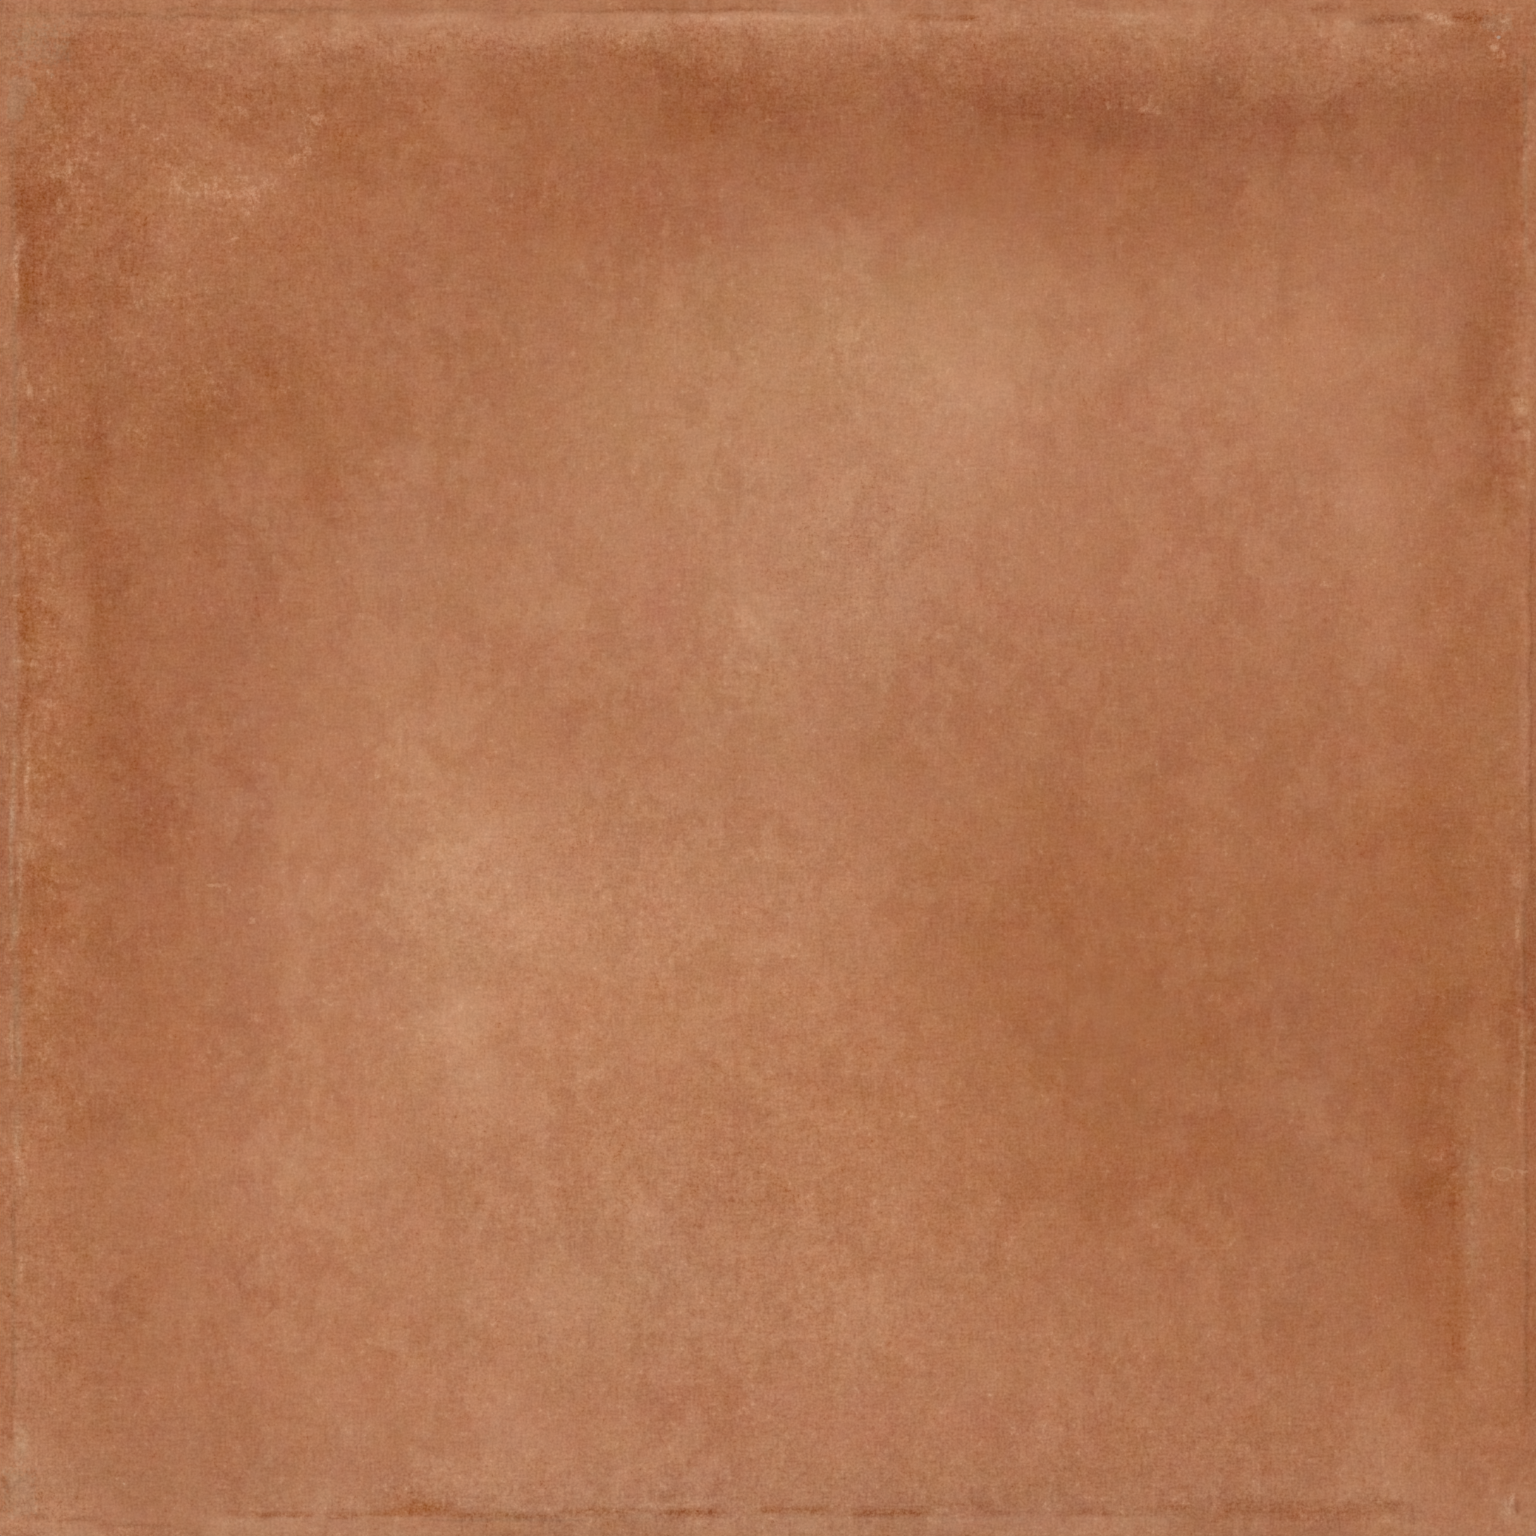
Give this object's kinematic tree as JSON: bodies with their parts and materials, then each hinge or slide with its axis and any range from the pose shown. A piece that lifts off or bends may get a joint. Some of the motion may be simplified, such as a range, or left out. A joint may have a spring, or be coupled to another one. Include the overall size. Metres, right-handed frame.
{
  "type": "square floor tile",
  "caption": "Square terracotta floor tile with eased face edges, drafted sides and a waffle-ribbed back that keys into its adhesive bed.",
  "frame": {"origin": "centre of the square on the back's rib tops, the plane that meets the bed or the floor", "axes": "+Z out of the wear face, +X and +Y square to the sides; in the picture's view +X is to the right and +Y is up"},
  "size_m": [0.2, 0.2, 0.009],
  "materials": {
    "fired_clay": "matte"
  },
  "bodies": {
    "root": {"tile": "fired_clay"}
  },
  "joints": []
}
